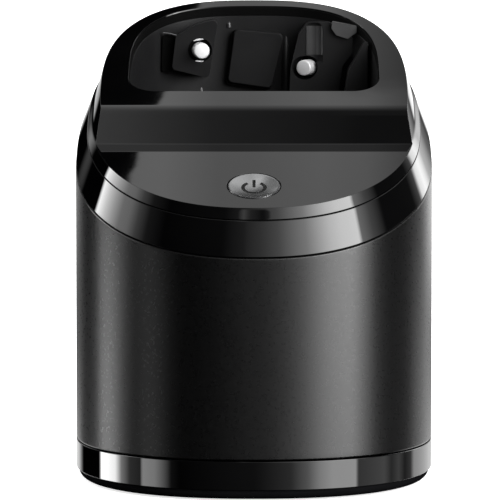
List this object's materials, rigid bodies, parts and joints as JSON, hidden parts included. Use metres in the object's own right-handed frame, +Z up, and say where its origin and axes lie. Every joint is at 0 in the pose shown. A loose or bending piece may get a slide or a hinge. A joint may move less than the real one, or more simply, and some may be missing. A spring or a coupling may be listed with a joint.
{
  "type": "electric shaver cleaning station",
  "caption": "Free-standing charging and cleaning station for an electric shaver, with a sloping gloss top, open tub, start button and lift-up housing.",
  "frame": {"origin": "on the surface the station stands on, under the middle of its box", "axes": "+Z up, -Y towards the front with the start button, +X to the right seen from the front"},
  "size_m": [0.118, 0.1336, 0.1552],
  "materials": {
    "gloss_black": "mirror-polished black",
    "matt_charcoal": "fine spark-eroded matt",
    "base_black": "matt moulded",
    "deck_black": "matt moulded",
    "foot_rubber": "soft matt",
    "seal_rubber": "soft matt",
    "tub_black": "satin moulded",
    "button_grey": "satin",
    "lift_button_grey": "satin",
    "contact_metal": "bright nickel plate",
    "zinc_steel": "zinc plated",
    "column_steel": "ground",
    "spring_steel": "drawn wire",
    "motor_steel": "nickel plated",
    "chassis_grey": "moulded glass-filled",
    "pump_grey": "moulded",
    "socket_black": "moulded",
    "switch_black": "moulded",
    "board_green": "solder mask",
    "end_cap_cream": "moulded",
    "impeller_white": "moulded",
    "hose_silicone": "translucent silicone",
    "tube_grey": "smooth",
    "lead_red": "vinyl sleeve",
    "cartridge_clear": "smoky translucent",
    "cartridge_blue": "glossy moulded",
    "filter_foam": "open-cell foam"
  },
  "bodies": {
    "base": {"base_pan": "base_black", "base_ring": "gloss_black", "base_deck": "deck_black", "rubber_feet": "foot_rubber", "base_screws": "zinc_steel", "guide_columns": "column_steel", "lift_springs": "spring_steel", "latch_strike": "zinc_steel", "cartridge_tub": "cartridge_clear", "cartridge_cover": "cartridge_blue", "cartridge_filter": "filter_foam"},
    "housing": {"body_shell": "matt_charcoal", "collar": "gloss_black", "top_cover": "gloss_black", "cleaning_tub": "tub_black", "tub_gasket": "seal_rubber", "tub_rear_plate": "tub_black", "contact_block_left": "tub_black", "contact_block_right": "tub_black", "pin_seals": "seal_rubber", "inner_chassis": "chassis_grey", "chassis_screws": "zinc_steel", "main_board": "board_green", "board_screws": "zinc_steel", "start_switch": "switch_black", "motor_can": "motor_steel", "motor_end_cap": "end_cap_cream", "pump_housing": "pump_grey", "pump_cover": "pump_grey", "suction_tube": "tube_grey", "pressure_hose": "hose_silicone", "drain_spout": "pump_grey", "power_socket": "socket_black", "socket_pins": "contact_metal", "lift_button_bezel": "gloss_black", "latch_pin": "zinc_steel", "button_spring": "spring_steel", "motor_leads": "lead_red"},
    "start_button": {"start_button": "button_grey"},
    "lift_button": {"lift_button": "lift_button_grey"},
    "latch": {"latch": "chassis_grey"},
    "contact_pin_left": {"contact_pin_left": "contact_metal"},
    "contact_pin_right": {"contact_pin_right": "contact_metal"},
    "rotor": {"motor_shaft": "zinc_steel", "impeller": "impeller_white"}
  },
  "joints": [
    {"name": "housing_lift", "type": "slide", "parent": "base", "child": "housing", "axis": [0, 0, 1], "range_m": [0, 0.052], "deforming": ["lift_springs"]},
    {"name": "start_button_press", "type": "slide", "parent": "housing", "child": "start_button", "axis": [0, 0.3987, -0.9171], "range_m": [0, 0.001], "stiffness_N_per_m": 1200, "springref_m": -0.0004},
    {"name": "lift_button_press", "type": "slide", "parent": "housing", "child": "lift_button", "axis": [0, -1, 0], "range_m": [0, 0.002], "stiffness_N_per_m": 900, "springref_m": -0.0006},
    {"name": "latch_swing", "type": "hinge", "parent": "housing", "child": "latch", "pos_m": [0, 0.054, 0.033], "axis": [1, 0, 0], "range_deg": [0, 8]},
    {"name": "contact_pin_left_press", "type": "slide", "parent": "housing", "child": "contact_pin_left", "axis": [-0.1392, 0.9903, 0], "range_m": [0, 0.0018], "stiffness_N_per_m": 500, "springref_m": -0.0008},
    {"name": "contact_pin_right_press", "type": "slide", "parent": "housing", "child": "contact_pin_right", "axis": [0.4067, 0.9135, 0], "range_m": [0, 0.0018], "stiffness_N_per_m": 500, "springref_m": -0.0008},
    {"name": "pump_spin", "type": "hinge", "parent": "housing", "child": "rotor", "pos_m": [-0.024, -0.0195, 0.071], "axis": [0, 0, 1], "continuous": true}
  ],
  "couplings": [
    {"joint": "latch_swing", "follows": "lift_button_press", "rad_per_m": 69.8}
  ]
}
